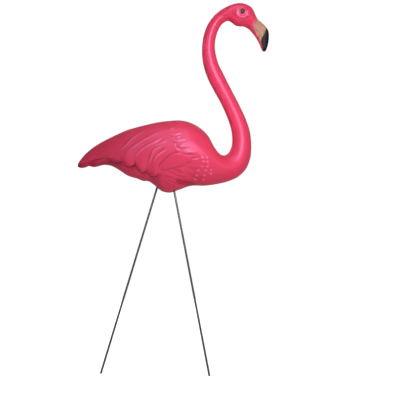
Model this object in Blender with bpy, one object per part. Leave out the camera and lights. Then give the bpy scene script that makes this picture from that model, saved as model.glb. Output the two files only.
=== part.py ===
"""A pink flamingo lawn ornament: one moulded plastic bird on two steel rods.

Metres, +Z up. The bird faces +X and its left side is +Y. The origin is on the ground,
midway between the feet of the rods.
"""

import math
from typing import NamedTuple

import bmesh
import bpy
import numpy as np
from mathutils import Matrix, Vector

# Driving dimensions
FIGURE_HEIGHT = 0.441
BELLY_HEIGHT = 0.423
FEET_APART = 0.254
FEET_ACROSS = 0.044
ROD_DIAMETER = 0.00476
SOCKET_DEPTH = 0.052
FIT_GAP = 0.0003

# The figure is laid out in hundredths of its own height, from the belly's lowest point
PERCENT = FIGURE_HEIGHT / 100

# Where the rods enter the belly, along, across and up, in hundredths of the figure's height
REAR_ENTRY = (1.3, 3.2, 3.2)
FRONT_ENTRY = (10.3, -3.2, 0.9)

# Facets: points round a section and the spacing of sections, in hundredths of the height
BODY_SIDES = 64
NECK_SIDES = BODY_SIDES // 2
WING_ROWS = 20
ROD_SIDES = 12
TAIL_SPACING = 2.8
WING_SPACING = 2.3
BREAST_SPACING = 4.2
NECK_SPACING = 5.0
HEAD_SPACING = 2.7
CARVING_SPACING = 0.8

MOULDED_PINK = (0.74, 0.055, 0.135, 1.0)
PINK_ROUGHNESS = 0.38
ROD_GREY = (0.085, 0.08, 0.082, 1.0)
ROD_ROUGHNESS = 0.42
ROD_METALLIC = 0.9


class Station(NamedTuple):
    """One section of the figure, in hundredths of its height.

    The section stands between a point of the upper outline and one of the lower outline.
    widest is how far down the section its widest level lies, and crown and keel are the
    fullness of the section above and below that level: 2 is an ellipse.
    """

    upper: tuple
    lower: tuple
    half_width: float
    widest: float = 0.5
    crown: float = 2.0
    keel: float = 2.0


TAIL = (
    Station((-40.3, 15.6), (-40.6, 13.6), 0.8, 0.60),
    Station((-39.1, 17.4), (-39.3, 13.1), 1.9, 0.62, 1.8),
    Station((-36.2, 20.8), (-36.2, 13.4), 3.3, 0.66, 1.7),
    Station((-34.7, 22.1), (-34.8, 14.0), 3.9, 0.66, 1.7),
    Station((-32.6, 23.8), (-32.4, 13.5), 4.7, 0.66, 1.7, 2.1),
)
WING = (
    Station((-26.5, 27.5), (-26.2, 14.6), 7.0, 0.66, 1.75, 2.1),
    Station((-22.9, 29.3), (-22.6, 14.0), 8.4, 0.64, 1.8, 2.1),
    Station((-20.4, 30.5), (-19.9, 12.6), 9.4, 0.62, 1.8, 2.1),
    Station((-13.6, 33.4), (-13.6, 8.7), 11.8, 0.57, 1.9, 2.1),
    Station((-9.3, 34.6), (-9.3, 7.4), 12.9, 0.55, 1.95, 2.1),
    Station((-6.3, 35.4), (-6.2, 6.2), 13.7, 0.54, 2.0, 2.1),
    Station((-3.4, 36.1), (-3.4, 6.0), 14.4, 0.53, 2.0, 2.1),
    Station((0.1, 36.9), (-0.1, 3.9), 15.1, 0.51, 2.05, 2.1),
    Station((3.8, 37.5), (3.6, 0.9), 15.8, 0.50, 2.1, 1.95),
    Station((7.5, 37.9), (7.5, 0.0), 16.3, 0.48, 2.1, 1.85),
    Station((12.8, 38.2), (12.5, 1.4), 16.7, 0.49, 2.1, 1.9),
    Station((18.6, 37.0), (19.1, 3.6), 16.4, 0.50, 2.1, 2.0),
)
BREAST = (
    Station((24.1, 34.0), (26.5, 3.7), 15.4),
    Station((28.3, 29.8), (33.6, 4.7), 13.8),
    Station((31.2, 24.4), (39.6, 6.3), 11.9),
    Station((33.5, 21.2), (44.1, 8.5), 10.1),
    Station((36.3, 19.7), (48.1, 12.5), 8.5),
    Station((38.8, 21.0), (50.2, 17.5), 7.2),
    Station((40.3, 23.9), (50.9, 22.4), 6.1),
)
NECK = (
    Station((40.8, 27.4), (50.8, 27.3), 5.35),
    Station((40.5, 31.7), (50.1, 32.5), 4.85),
    Station((39.4, 36.2), (48.0, 38.9), 4.5),
    Station((37.4, 41.5), (45.2, 45.0), 4.3),
    Station((34.1, 48.5), (41.4, 52.4), 4.2),
    Station((31.0, 54.0), (38.5, 58.0), 4.2),
    Station((27.9, 60.2), (35.6, 63.8), 4.1),
    Station((25.8, 66.5), (33.5, 68.2), 3.85),
    Station((24.9, 73.1), (32.1, 73.6), 3.55),
    Station((25.1, 78.9), (31.7, 77.8), 3.35),
    Station((25.9, 83.4), (32.2, 81.6), 3.25),
    Station((27.7, 88.3), (33.5, 85.6), 3.2),
    Station((30.4, 92.3), (35.4, 88.7), 3.25),
)
HEAD = (
    Station((34.1, 95.8), (38.3, 90.5), 3.45),
    Station((38.4, 98.3), (40.4, 89.7), 3.9, 0.48),
    Station((42.3, 99.7), (42.7, 88.0), 4.4, 0.44, 2.1, 1.9),
    Station((45.5, 100.0), (44.9, 87.6), 4.65, 0.42, 2.1, 1.85),
    Station((48.5, 99.3), (46.9, 87.5), 4.5, 0.42, 2.1, 1.85),
    Station((50.9, 97.8), (48.8, 86.6), 4.1, 0.43, 2.1, 1.9),
    Station((52.2, 95.9), (50.2, 85.5), 3.6, 0.45, 2.1, 1.9),
    Station((53.2, 93.5), (51.4, 84.1), 3.0, 0.47, 2.1, 2.0),
    Station((54.3, 91.5), (52.6, 82.6), 2.65, 0.48, 2.1, 2.1),
    Station((56.5, 89.6), (53.9, 80.6), 2.4, 0.48, 2.1, 2.1),
    Station((58.6, 87.5), (54.9, 78.7), 2.15, 0.48, 2.1, 2.1),
    Station((59.9, 85.3), (55.6, 77.0), 1.9, 0.48),
    Station((60.2, 82.5), (56.2, 75.6), 1.65, 0.48),
    Station((59.9, 79.1), (56.7, 74.8), 1.4),
    Station((59.3, 76.6), (57.1, 74.4), 1.1),
    Station((58.6, 75.0), (57.8, 74.3), 0.5),
)

# The carving is laid out as the side view shows it from this point: along, away and up
SIGHT_X = 23.8
SIGHT_DISTANCE = 725.0
SIGHT_Z = -3.9

# The wing's lower edge hangs in rounded lobes, the ends of the feathers, between these cusps
WING_CUSPS = (
    (-40.5, 14.6), (-38.1, 15.6), (-34.4, 16.8), (-30.5, 18.0), (-26.9, 18.3), (-23.4, 18.2),
    (-22.2, 16.8), (-17.4, 16.9), (-10.5, 16.0), (-4.8, 12.2), (1.2, 10.0), (24.0, 12.0),
)
LOBE_DEPTHS = (0.0, 0.0, 0.0, 0.0, 0.0, 0.0, 0.5, 2.4, 2.9, 2.1, 0.0)
LOBE_ROUNDNESS = 0.6
# How much of its full step the wing's edge stands proud by, along the bird
WING_PROUD = ((-40.0, 0.2), (-30.0, 0.45), (-15.0, 1.0), (-6.0, 1.0), (0.0, 0.55), (3.5, 0.0))

# Upper edges of the long flight feathers, from the wing's lower edge to the shoulder
FLIGHT_FEATHERS = (
    ((-22.4, 17.2), (-19.6, 21.4), (-15.3, 25.6), (-10.5, 30.1), (-5.3, 32.9), (-1.2, 34.6)),
    ((-17.4, 16.9), (-16.2, 19.1), (-12.9, 23.2), (-8.0, 26.8), (-0.4, 31.0), (6.5, 33.8)),
    ((-10.5, 16.0), (-10.2, 19.3), (-6.2, 23.8), (-0.2, 27.1), (6.2, 30.6)),
    ((-4.8, 12.2), (-4.1, 13.8), (-2.6, 18.0), (-0.4, 22.8), (2.8, 24.6), (6.8, 26.6)),
    ((-1.4, 14.6), (-0.1, 18.3), (3.4, 21.5), (7.3, 23.7), (9.2, 24.8)),
)
# Rounded ends of the short feathers that cover the flight feathers' roots
COVERTS = (
    ((15.3, 31.7), (9.2, 30.5), (7.2, 30.5), (7.1, 31.6), (8.8, 32.9)),
    ((16.5, 28.5), (12.2, 27.2), (9.6, 27.8), (9.8, 28.9), (11.2, 29.8)),
    ((18.9, 24.7), (13.8, 23.2), (11.5, 24.2), (11.5, 26.0), (12.5, 26.8)),
    ((20.7, 21.2), (17.4, 20.2), (14.3, 21.2), (14.0, 22.6), (14.9, 23.4)),
)
# The leaf-shaped feather over the thigh: its upper edge and its lower edge
LEAF = (
    ((14.4, 20.6), (11.3, 20.5), (7.4, 18.9), (5.0, 16.9), (2.8, 14.7), (2.4, 12.9)),
    ((2.5, 12.2), (6.2, 12.7), (11.7, 13.9), (15.0, 14.8), (17.0, 16.3), (19.6, 17.1)),
)
# Grooves that drape over the thigh from the rear to the front
THIGH_FAN = (
    ((5.2, 11.1), (8.8, 10.4), (13.3, 8.6), (15.4, 8.2), (18.0, 7.0)),
    ((1.2, 9.3), (6.7, 8.3), (10.7, 7.0), (15.9, 5.6), (19.4, 5.4)),
    ((1.8, 8.1), (5.4, 7.2), (9.4, 5.4), (11.8, 4.4)),
    ((2.0, 6.9), (4.6, 5.9), (9.2, 3.6)),
)
# The fold between the thigh and the breast
THIGH_FOLD = ((12.0, 6.6), (15.9, 5.8), (19.2, 5.3), (22.1, 4.0))

# The thigh's swelling: its middle, its half length and half height
THIGH_PLACE = (10.0, 6.5)
THIGH_HALF_SIZE = (8.5, 5.5)

# Heights of the carving and the widths of its edges, in hundredths of the figure's height
WING_STEP = 2.3
WING_REACH = 8.0
WING_UNDERCUT = 0.35
FEATHER_STEP = 0.7
FEATHER_REACH = 2.6
COVERT_STEP = 0.55
LEAF_STEP = 0.7
FAN_DEPTH = 0.5
FOLD_DEPTH = 0.9
THIGH_SWELL = 0.9
EDGE_BLUR = 0.7
FAN_WIDTH = 0.9
FOLD_WIDTH = 1.4
# How much of the wing's step its rounded rim takes away, and the rim's radius
RIM_LOSS = 0.5
RIM_RADIUS = 0.9
# The shares of a line of carving over which it fades out at each end
FEATHER_FADE = 0.15
COVERT_FADE = 0.3
GROOVE_FADE = 0.25
# The share of a section's half width over which the carving fades out towards its outline
EDGE_SHARE = 0.35

# The moulded eye: its place, its half length and half height, and how far it stands proud
EYE_PLACE = (46.2, 95.2)
EYE_HALF_SIZE = (1.15, 1.35)
EYE_PROUD = 0.45
EYE_SEGMENTS = 16
EYE_RINGS = 8

# How closely a row of points keeps to the wing's edge, and the lowest that it may run
EDGE_PASSES = 3
EDGE_TOLERANCE = 0.1
LOWEST_SHARE = 0.96
# Where the sockets' cutting cylinders start, as a share of a rod's length
SOCKET_START = 0.5
SHARP_ANGLE = math.radians(40)


def clear_scene():
    """Removes every object that the file opened with."""
    for obj in list(bpy.data.objects):
        bpy.data.objects.remove(obj, do_unlink=True)


def make_collection(name):
    """Adds a collection to the scene."""
    collection = bpy.data.collections.new(name)
    bpy.context.scene.collection.children.link(collection)
    return collection


def make_material(name, colour, roughness, metallic=0.0):
    """Adds a material with one Principled shader."""
    material = bpy.data.materials.new(name)
    material.use_nodes = True
    shader = material.node_tree.nodes["Principled BSDF"]
    shader.inputs["Base Color"].default_value = colour
    shader.inputs["Roughness"].default_value = roughness
    shader.inputs["Metallic"].default_value = metallic
    material.diffuse_color = colour
    return material


def spline_runs(points, spacings):
    """Runs a smooth curve through points of any dimension.

    It gives one array of places for each stretch between two points, at about that
    stretch's spacing, and the last array ends on the last point.
    """
    points = np.asarray(points, dtype=float)
    steps = np.linalg.norm(np.diff(points, axis=0), axis=1)
    slopes = np.diff(points, axis=0) / steps[:, None]
    weights = (steps[:-1] / (steps[:-1] + steps[1:]))[:, None]
    inner = slopes[:-1] * (1 - weights) + slopes[1:] * weights
    tangents = np.vstack((slopes[:1], inner, slopes[-1:]))
    runs = []
    for i, (step, spacing) in enumerate(zip(steps, spacings)):
        count = max(1, round(step / spacing))
        t = (np.arange(count + (i == len(steps) - 1)) / count)[:, None]
        runs.append(
            points[i] * (2 * t**3 - 3 * t**2 + 1)
            + points[i + 1] * (3 * t**2 - 2 * t**3)
            + tangents[i] * step * (t**3 - 2 * t**2 + t)
            + tangents[i + 1] * step * (t**3 - t**2)
        )
    return runs


def spline(points):
    """Runs a smooth curve through the points of a line of carving."""
    return np.vstack(spline_runs(points, [CARVING_SPACING] * (len(points) - 1)))


def smooth_step(t):
    """Rises smoothly from 0 to 1 as t goes from 0 to 1."""
    t = np.clip(t, 0.0, 1.0)
    return t * t * (3 - 2 * t)


def measure(path, x, z):
    """Gives each point's distance from a path, the side it lies on and its place along it."""
    best = np.full(x.shape, np.inf)
    side = np.ones(x.shape)
    along = np.zeros(x.shape)
    count = len(path) - 1
    for i in range(count):
        (x0, z0), (x1, z1) = path[i], path[i + 1]
        dx, dz = x1 - x0, z1 - z0
        t = np.clip(((x - x0) * dx + (z - z0) * dz) / (dx * dx + dz * dz), 0.0, 1.0)
        distance = np.hypot(x - x0 - t * dx, z - z0 - t * dz)
        nearer = distance < best
        best = np.where(nearer, distance, best)
        side = np.where(nearer, np.sign(dx * (z - z0) - dz * (x - x0)), side)
        along = np.where(nearer, (i + t) / count, along)
    return best, side, along


def fade_ends(along, share):
    """Is 1 along the middle of a path and falls to 0 at its two ends."""
    return smooth_step(along / share) * smooth_step((1 - along) / share)


def lip(path, x, z, height, reach, share=FEATHER_FADE):
    """Raises the surface to the left of a path, steeply at the path and then fading."""
    distance, side, along = measure(path, x, z)
    signed = distance * side
    rise = smooth_step((signed / EDGE_BLUR + 1) / 2)
    return height * rise * np.exp(-np.maximum(signed, 0) / reach) * fade_ends(along, share)


def groove(path, x, z, depth, width):
    """Sinks a rounded groove along a path."""
    distance, _, along = measure(path, x, z)
    return -depth * np.exp(-((distance / width) ** 2)) * fade_ends(along, GROOVE_FADE)


def wing_edge(x):
    """Gives the height of the wing's lower edge at places along the bird."""
    cusp_x, cusp_z = np.transpose(WING_CUSPS)
    lobe = np.clip(np.searchsorted(cusp_x, x) - 1, 0, len(LOBE_DEPTHS) - 1)
    share = np.clip((x - cusp_x[lobe]) / (cusp_x[lobe + 1] - cusp_x[lobe]), 0.0, 1.0)
    hang = np.sin(np.pi * share) ** LOBE_ROUNDNESS
    return np.interp(x, cusp_x, cusp_z) - np.take(LOBE_DEPTHS, lobe) * hang


def sighted(x, y, z):
    """Gives where places on the bird's side show on its middle plane in the side view."""
    spread = SIGHT_DISTANCE / (SIGHT_DISTANCE - np.abs(y))
    return SIGHT_X + (x - SIGHT_X) * spread, SIGHT_Z + (z - SIGHT_Z) * spread


def wing_relief(x, z):
    """Gives how far the wing stands out above its rounded lower rim."""
    above = np.abs(z - wing_edge(x))
    proud = WING_STEP * np.interp(x, *np.transpose(WING_PROUD))
    rim = 1 - RIM_LOSS * np.exp(-above / RIM_RADIUS)
    on_wing = z >= wing_edge(x) - EDGE_TOLERANCE
    return np.where(on_wing, proud * rim * np.exp(-above / WING_REACH), 0.0)


def carve(x, y, z):
    """Gives how far the carving stands out sideways at places on the bird's side."""
    x, z = sighted(x, y, z)
    raised = wing_relief(x, z)
    for feather in FLIGHT_FEATHERS:
        raised += lip(spline(feather[::-1]), x, z, FEATHER_STEP, FEATHER_REACH)
    for covert in COVERTS:
        raised += lip(spline(covert[::-1]), x, z, COVERT_STEP, FEATHER_REACH, COVERT_FADE)
    for half in LEAF:
        raised += lip(spline(half), x, z, LEAF_STEP, FEATHER_REACH)
    for path in THIGH_FAN:
        raised += groove(spline(path), x, z, FAN_DEPTH, FAN_WIDTH)
    raised += groove(spline(THIGH_FOLD), x, z, FOLD_DEPTH, FOLD_WIDTH)
    thigh_x = (x - THIGH_PLACE[0]) / THIGH_HALF_SIZE[0]
    thigh_z = (z - THIGH_PLACE[1]) / THIGH_HALF_SIZE[1]
    return raised + THIGH_SWELL * np.exp(-(thigh_x**2) - thigh_z**2)


def even_angles(sides):
    """Spaces a section's points evenly, from the upper outline to the lower one."""
    return np.linspace(0.0, math.pi, sides // 2 + 1)


def edge_share(station):
    """Gives how far down a section the wing's lower edge crosses it."""
    upper_x, upper_z, lower_x, lower_z, half_width, widest, _, _ = station
    spread = SIGHT_DISTANCE / (SIGHT_DISTANCE - half_width)
    share = widest
    for _ in range(EDGE_PASSES):
        x = upper_x + (lower_x - upper_x) * share
        shown = wing_edge(SIGHT_X + (x - SIGHT_X) * spread)
        share = (upper_z - SIGHT_Z - (shown - SIGHT_Z) / spread) / (upper_z - lower_z)
    return share


def winged_angles(station, sides):
    """Spaces a section's points so that one row follows the wing's lower edge."""
    widest, crown, keel = station[5:]
    share = edge_share(station)
    drop = WING_UNDERCUT / (station[1] - station[3])

    def angle_at(down):
        if down <= widest:
            return math.acos((1 - down / widest) ** (crown / 2))
        return math.acos(-(((down - widest) / (1 - widest)) ** (keel / 2)))

    edge, under = angle_at(share), angle_at(min(share + drop, LOWEST_SHARE))
    above = np.linspace(0.0, edge, WING_ROWS + 1)
    below = np.linspace(under, math.pi, sides // 2 - WING_ROWS)
    return np.append(above, below)


def section(station, angles):
    """Gives one section's points as along, across and up, from the upper outline round."""
    upper_x, upper_z, lower_x, lower_z, half_width, widest, crown, keel = station
    angle = np.append(angles, 2 * math.pi - angles[-2:0:-1])
    cosine, sine = np.cos(angle), np.sin(angle)
    power = 2 / np.where(cosine > 0, crown, keel)
    reach = np.where(cosine > 0, widest, 1 - widest)
    down = widest - reach * np.sign(cosine) * np.abs(cosine) ** power
    across = half_width * np.sign(sine) * np.abs(sine) ** power
    across[[0, len(angles) - 1]] = 0.0
    x = upper_x + (lower_x - upper_x) * down
    z = upper_z + (lower_z - upper_z) * down
    return np.column_stack((x, across, z))


def join_rings(bm, first, second):
    """Closes the band between two rings; the second may have half as many points."""
    ratio = len(first) // len(second)
    count = len(second)
    for i in range(count):
        j = (i + 1) % count
        if ratio == 1:
            bm.faces.new((first[i], second[i], second[j], first[j]))
            continue
        start, middle, end = (first[(2 * i + k) % len(first)] for k in range(3))
        bm.faces.new((start, second[i], middle))
        bm.faces.new((middle, second[i], second[j]))
        bm.faces.new((middle, second[j], end))


def close_end(bm, ring, outwards):
    """Closes a ring with a fan round its middle."""
    middle = sum((vert.co for vert in ring), Vector()) / len(ring)
    centre = bm.verts.new(middle)
    for i, vert in enumerate(ring):
        following = ring[(i + 1) % len(ring)]
        bm.faces.new((vert, following, centre) if outwards else (following, vert, centre))


def figure_sections():
    """Gives the whole figure's sections, from tail to bill, each with its number of sides."""
    regions = (
        (TAIL, TAIL_SPACING, BODY_SIDES),
        (WING, WING_SPACING, BODY_SIDES),
        (BREAST, BREAST_SPACING, NECK_SIDES),
        (NECK, NECK_SPACING, NECK_SIDES),
        (HEAD, HEAD_SPACING, NECK_SIDES),
    )
    stretches = [(s, spacing, sides) for group, spacing, sides in regions for s in group]
    rows = [(*s.upper, *s.lower, s.half_width, s.widest, s.crown, s.keel) for s, _, _ in stretches]
    runs = spline_runs(rows, [spacing for _, spacing, _ in stretches[:-1]])
    for run, (_, _, sides) in zip(runs, stretches):
        for row in run:
            yield row, sides


def build_figure(collection, material):
    """Lofts the bird from tail to bill, carves its sides and returns the object."""
    bm = bmesh.new()
    rings = []
    for row, sides in figure_sections():
        angles = winged_angles(row, sides) if sides == BODY_SIDES else even_angles(sides)
        x, y, z = section(row, angles).T
        inner = smooth_step(np.abs(y) / (EDGE_SHARE * row[4]))
        y = y + np.sign(y) * carve(x, y, z) * inner
        rings.append([bm.verts.new(place(point)) for point in zip(x, y, z)])
    for first, second in zip(rings, rings[1:]):
        join_rings(bm, first, second)
    close_end(bm, rings[0], outwards=False)
    close_end(bm, rings[-1], outwards=True)
    bmesh.ops.recalc_face_normals(bm, faces=bm.faces)
    return finish_mesh(bm, "flamingo_body", collection, material)


def place(point):
    """Turns a place on the figure, in hundredths of its height, into metres."""
    return Vector(point) * PERCENT + Vector((0.0, 0.0, BELLY_HEIGHT))


def finish_mesh(bm, name, collection, material=None):
    """Writes a bmesh to a named object, shaded smooth away from its sharp edges."""
    mesh = bpy.data.meshes.new(name)
    bm.to_mesh(mesh)
    bm.free()
    mesh.shade_smooth()
    mesh.set_sharp_from_angle(angle=SHARP_ANGLE)
    obj = bpy.data.objects.new(name, mesh)
    collection.objects.link(obj)
    if material:
        mesh.materials.append(material)
    return obj


def add_boolean(obj, cutter, operation):
    """Cuts an object with a hidden one, or joins it on."""
    cutter.hide_render = True
    cutter.display_type = "WIRE"
    modifier = obj.modifiers.new(f"{operation.title()} {cutter.name}", "BOOLEAN")
    modifier.operation = operation
    modifier.object = cutter


def make_eye(side, cutters):
    """Makes the ellipsoid of one eye, which stands a little proud of the head."""
    half_length, half_height = EYE_HALF_SIZE
    head = min(HEAD, key=lambda s: abs(s.upper[0] - EYE_PLACE[0]))
    bm = bmesh.new()
    bmesh.ops.create_uvsphere(bm, u_segments=EYE_SEGMENTS, v_segments=EYE_RINGS, radius=1.0)
    size = Vector((half_length, 2 * EYE_PROUD, half_height)) * PERCENT
    bmesh.ops.scale(bm, verts=bm.verts, vec=size)
    across = side * (eye_level_half_width(head) - EYE_PROUD)
    centre = place((EYE_PLACE[0], across, EYE_PLACE[1]))
    bmesh.ops.translate(bm, verts=bm.verts, vec=centre)
    return finish_mesh(bm, f"eye_{'left' if side > 0 else 'right'}", cutters)


def eye_level_half_width(station):
    """Gives a head section's half width at the height of the eye."""
    top, bottom = station.upper[1], station.lower[1]
    level = (top - EYE_PLACE[1]) / (top - bottom)
    cosine = 1 - level / station.widest
    sine = math.sqrt(1 - abs(cosine) ** station.crown)
    return station.half_width * sine


def rod_axis(foot_x, foot_y, entry):
    """Gives a rod's foot on the ground and its top end inside the figure."""
    foot = Vector((foot_x, foot_y, 0.0))
    inlet = place(entry)
    return foot, inlet + (inlet - foot).normalized() * SOCKET_DEPTH


def make_rod(name, foot, top, collection, material):
    """Makes one straight rod, cut off flat at the ground."""
    along = (top - foot).normalized()
    start = foot - along * ROD_DIAMETER
    bm = cylinder(start, top - along * FIT_GAP, ROD_DIAMETER / 2)
    everything = bm.verts[:] + bm.edges[:] + bm.faces[:]
    cut = bmesh.ops.bisect_plane(
        bm, geom=everything, plane_co=(0, 0, 0), plane_no=(0, 0, 1), clear_inner=True
    )
    rim = [item for item in cut["geom_cut"] if isinstance(item, bmesh.types.BMEdge)]
    bmesh.ops.contextual_create(bm, geom=rim)
    bmesh.ops.recalc_face_normals(bm, faces=bm.faces)
    return finish_mesh(bm, name, collection, material)


def cylinder(start, end, radius):
    """Makes a closed cylinder between two points."""
    bm = bmesh.new()
    length = (end - start).length
    bmesh.ops.create_cone(
        bm, cap_ends=True, segments=ROD_SIDES, radius1=radius, radius2=radius, depth=length
    )
    turn = (end - start).to_track_quat("Z", "Y").to_matrix().to_4x4()
    bmesh.ops.transform(bm, matrix=Matrix.Translation((start + end) / 2) @ turn, verts=bm.verts)
    return bm


def make_socket(name, foot, top, cutters):
    """Makes the blind hole that a rod is pushed into, wider than the rod by the fit's gap."""
    below = foot.lerp(top, SOCKET_START)
    return finish_mesh(cylinder(below, top, ROD_DIAMETER / 2 + FIT_GAP), name, cutters)


def main():
    """Builds the bird and its two rods."""
    clear_scene()
    flamingo = make_collection("flamingo lawn ornament")
    cutters = make_collection("cutters")
    plastic = make_material("moulded pink plastic", MOULDED_PINK, PINK_ROUGHNESS)
    steel = make_material("dark steel rod", ROD_GREY, ROD_ROUGHNESS, ROD_METALLIC)

    body = build_figure(flamingo, plastic)
    for side in (-1, 1):
        add_boolean(body, make_eye(side, cutters), "UNION")
    legs = (
        ("rear_leg", -FEET_APART / 2, FEET_ACROSS / 2, REAR_ENTRY),
        ("front_leg", FEET_APART / 2, -FEET_ACROSS / 2, FRONT_ENTRY),
    )
    for name, foot_x, foot_y, entry in legs:
        foot, top = rod_axis(foot_x, foot_y, entry)
        add_boolean(body, make_socket(f"{name}_socket", foot, top, cutters), "DIFFERENCE")
        make_rod(name, foot, top, flamingo, steel)


main()
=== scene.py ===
"""The looks of a pink flamingo lawn ornament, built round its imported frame.

The bird is one moulding of pink plastic: a loft from tail to bill with its feathers, thigh,
breast scales and eyes carved into it, an airbrushed bill and painted eyes. Two drawn steel
rods are pushed into sockets in its belly. Lengths along the bird are hundredths of its
height, read from the frame, and everything else is in metres.
"""

import logging
import math
from dataclasses import dataclass, field
from enum import Enum
from typing import Protocol

import bmesh
import bpy
import numpy as np
from mathutils import Matrix, Vector


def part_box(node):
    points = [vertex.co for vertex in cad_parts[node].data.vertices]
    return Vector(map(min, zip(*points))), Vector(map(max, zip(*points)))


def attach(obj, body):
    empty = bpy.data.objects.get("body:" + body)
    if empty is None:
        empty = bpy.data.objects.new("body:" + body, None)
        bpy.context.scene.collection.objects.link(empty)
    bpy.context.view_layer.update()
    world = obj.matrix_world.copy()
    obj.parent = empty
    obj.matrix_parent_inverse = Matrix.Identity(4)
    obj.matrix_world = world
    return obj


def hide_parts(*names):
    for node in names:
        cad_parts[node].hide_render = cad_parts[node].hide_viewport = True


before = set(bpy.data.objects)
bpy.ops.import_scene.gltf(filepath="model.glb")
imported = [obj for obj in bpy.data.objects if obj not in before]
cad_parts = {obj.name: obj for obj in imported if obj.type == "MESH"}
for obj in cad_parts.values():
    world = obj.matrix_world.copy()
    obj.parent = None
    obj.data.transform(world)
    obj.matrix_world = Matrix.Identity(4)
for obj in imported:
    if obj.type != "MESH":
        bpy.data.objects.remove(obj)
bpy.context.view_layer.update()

logging.basicConfig(level=logging.INFO, format="%(message)s")
log = logging.getLogger("flamingo")

BODY = "root"
WHITE = (1.0, 1.0, 1.0, 1.0)
TINY = 1e-6

# Points nearer to each other than this are one, in metres.
SEAM_MERGE = 1e-7
FLOOR_MERGE = 1e-4

Point = tuple[float, float]
Line = tuple[Point, ...]
Colour = tuple[float, float, float]
Socket = bpy.types.NodeSocket


class Slot(Enum):
    """The record's material slots."""

    PLASTIC = "pink_plastic"
    STEEL = "dark_steel"


class LampUse(Enum):
    """What a lamp is for."""

    TONE = "tone"
    SHINE = "shine"
    BOTH = "both"


class MixKind(Enum):
    """What a mix node mixes: its first input of that kind, and its output."""

    FLOAT = (2, 0)
    RGBA = (6, 2)


@dataclass(frozen=True)
class Lamp:
    """One soft square lamp.

    Args:
        name: its name.
        place: where it stands.
        aim: what it shines at.
        size: the length of its sides.
        power: its power in watts.
        use: whether it lights surfaces, shows in highlights or does both.
        spread: how wide its beam is, in degrees.
    """

    name: str
    place: tuple[float, float, float]
    aim: tuple[float, float, float]
    size: float
    power: float
    use: LampUse
    spread: float = 180.0


@dataclass(frozen=True)
class FigureScale:
    """Turns hundredths of the bird's height into metres of the frame.

    Args:
        base: height of the belly's lowest point above the ground.
        unit: one hundredth of the bird's height.
    """

    base: float
    unit: float

    @classmethod
    def from_frame(cls) -> "FigureScale":
        """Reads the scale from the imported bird's box."""
        low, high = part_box("flamingo_body")
        return cls(base=low[2], unit=(high[2] - low[2]) / 100)

    def to_metres(self, points: np.ndarray) -> np.ndarray:
        """Turns places on the figure into metres.

        Args:
            points: rows of along, across and up, in hundredths.

        Returns:
            The same rows in metres, lifted to the belly's height.
        """
        return points * self.unit + np.array((0.0, 0.0, self.base))

    def to_hundredths(self, points: np.ndarray) -> np.ndarray:
        """Turns metres back into hundredths of the figure."""
        return (points - np.array((0.0, 0.0, self.base))) / self.unit


@dataclass(frozen=True)
class Sight:
    """The point that the carving and the paint are laid out from, in hundredths.

    Args:
        x: its place along the bird.
        distance: how far it is from the bird's middle plane.
        z: its place up the bird.
    """

    x: float = 23.8
    distance: float = 725.0
    z: float = -3.9

    def spread(self, y: np.ndarray) -> np.ndarray:
        """Gives how much larger things look at a distance from the middle plane."""
        return self.distance / (self.distance - np.abs(y))

    def show(self, x: np.ndarray, y: np.ndarray, z: np.ndarray) -> tuple[np.ndarray, np.ndarray]:
        """Gives where places on the bird's side show on its middle plane.

        Args:
            x: places along the bird.
            y: places across it.
            z: places up it.

        Returns:
            The places along and up that they cover on the middle plane.
        """
        spread = self.spread(y)
        return self.x + (x - self.x) * spread, self.z + (z - self.z) * spread


def smooth_step(t: np.ndarray) -> np.ndarray:
    """Rises smoothly from 0 to 1 as t goes from 0 to 1."""
    t = np.clip(t, 0.0, 1.0)
    return t * t * (3 - 2 * t)


def fade_out(away: np.ndarray, start: float, width: float) -> np.ndarray:
    """Falls smoothly from 1 to 0 over a width that starts at a distance away."""
    return 1 - smooth_step((away - start) / width)


def spline_runs(points: np.ndarray, spacings: list[float]) -> list[np.ndarray]:
    """Runs a smooth curve through points of any dimension.

    Args:
        points: one row for each point that the curve passes through.
        spacings: the spacing wanted on each stretch between two points.

    Returns:
        One array of places for each stretch; the last array ends on the last point.
    """
    points = np.asarray(points, dtype=float)
    steps = np.linalg.norm(np.diff(points, axis=0), axis=1)
    slopes = np.diff(points, axis=0) / steps[:, None]
    weights = (steps[:-1] / (steps[:-1] + steps[1:]))[:, None]
    inner = slopes[:-1] * (1 - weights) + slopes[1:] * weights
    tangents = np.vstack((slopes[:1], inner, slopes[-1:]))
    runs = []
    for i, (step, spacing) in enumerate(zip(steps, spacings)):
        count = max(1, round(step / spacing))
        t = (np.arange(count + (i == len(steps) - 1)) / count)[:, None]
        runs.append(
            points[i] * (2 * t**3 - 3 * t**2 + 1)
            + points[i + 1] * (3 * t**2 - 2 * t**3)
            + tangents[i] * step * (t**3 - 2 * t**2 + t)
            + tangents[i + 1] * step * (t**3 - t**2)
        )
    return runs


class Carving(Protocol):
    """Anything that is carved into the bird's side."""

    def relief(self, x: np.ndarray, z: np.ndarray) -> np.ndarray:
        """Gives how far it stands out at each place on the side view."""


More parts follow.
